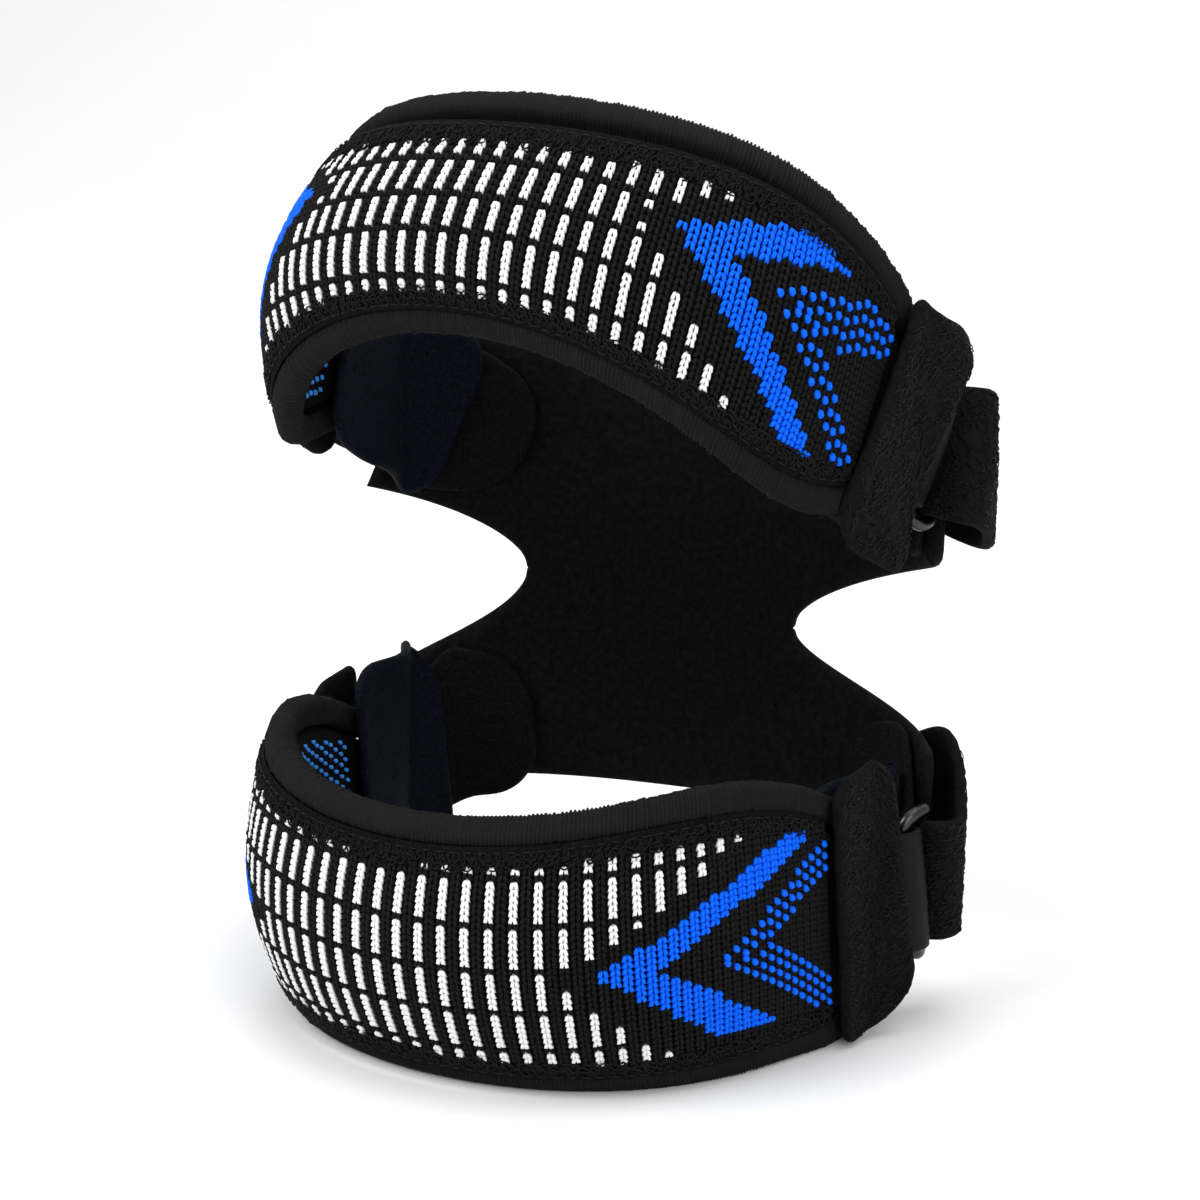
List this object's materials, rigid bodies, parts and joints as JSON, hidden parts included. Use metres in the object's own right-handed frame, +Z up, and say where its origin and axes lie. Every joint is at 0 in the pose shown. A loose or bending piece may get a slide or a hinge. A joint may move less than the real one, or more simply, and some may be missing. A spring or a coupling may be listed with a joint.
{
  "type": "dual patella strap knee support",
  "caption": "Open knee support: knitted padded bands above and below the kneecap, joined behind by a soft notched panel with ring and loop straps.",
  "frame": {"origin": "middle of the footprint, on the floor that the lower band stands on", "axes": "+Z up along the leg, -Y towards the front bands over the kneecap, +X to the right"},
  "size_m": [0.1316, 0.1072, 0.1632],
  "materials": {
    "knit": "black rib knit with white dashes and blue chevrons",
    "binding": "black ribbed elastic edging",
    "tab": "black brushed loop fabric",
    "flap": "dark navy fine knit",
    "webbing": "black ribbed webbing",
    "ring": "dark plated wire",
    "strap": "black brushed loop strap",
    "panel": "black soft foam backed fabric"
  },
  "bodies": {
    "root": {"lower_knit": "knit", "upper_knit": "knit", "lower_top_binding": "binding", "lower_bottom_binding": "binding", "upper_top_binding": "binding", "upper_bottom_binding": "binding", "lower_left_outer_tab": "tab", "lower_right_outer_tab": "tab", "upper_left_outer_tab": "tab", "upper_right_outer_tab": "tab", "lower_left_inner_flap": "flap", "lower_right_inner_flap": "flap", "upper_left_inner_flap": "flap", "upper_right_inner_flap": "flap", "lower_left_ring_webbing": "webbing", "lower_right_ring_webbing": "webbing", "upper_left_ring_webbing": "webbing", "upper_right_ring_webbing": "webbing", "lower_left_ring": "ring", "lower_right_ring": "ring", "upper_left_ring": "ring", "upper_right_ring": "ring", "lower_left_strap": "strap", "lower_right_strap": "strap", "upper_left_strap": "strap", "upper_right_strap": "strap", "back_panel": "panel"}
  },
  "joints": []
}
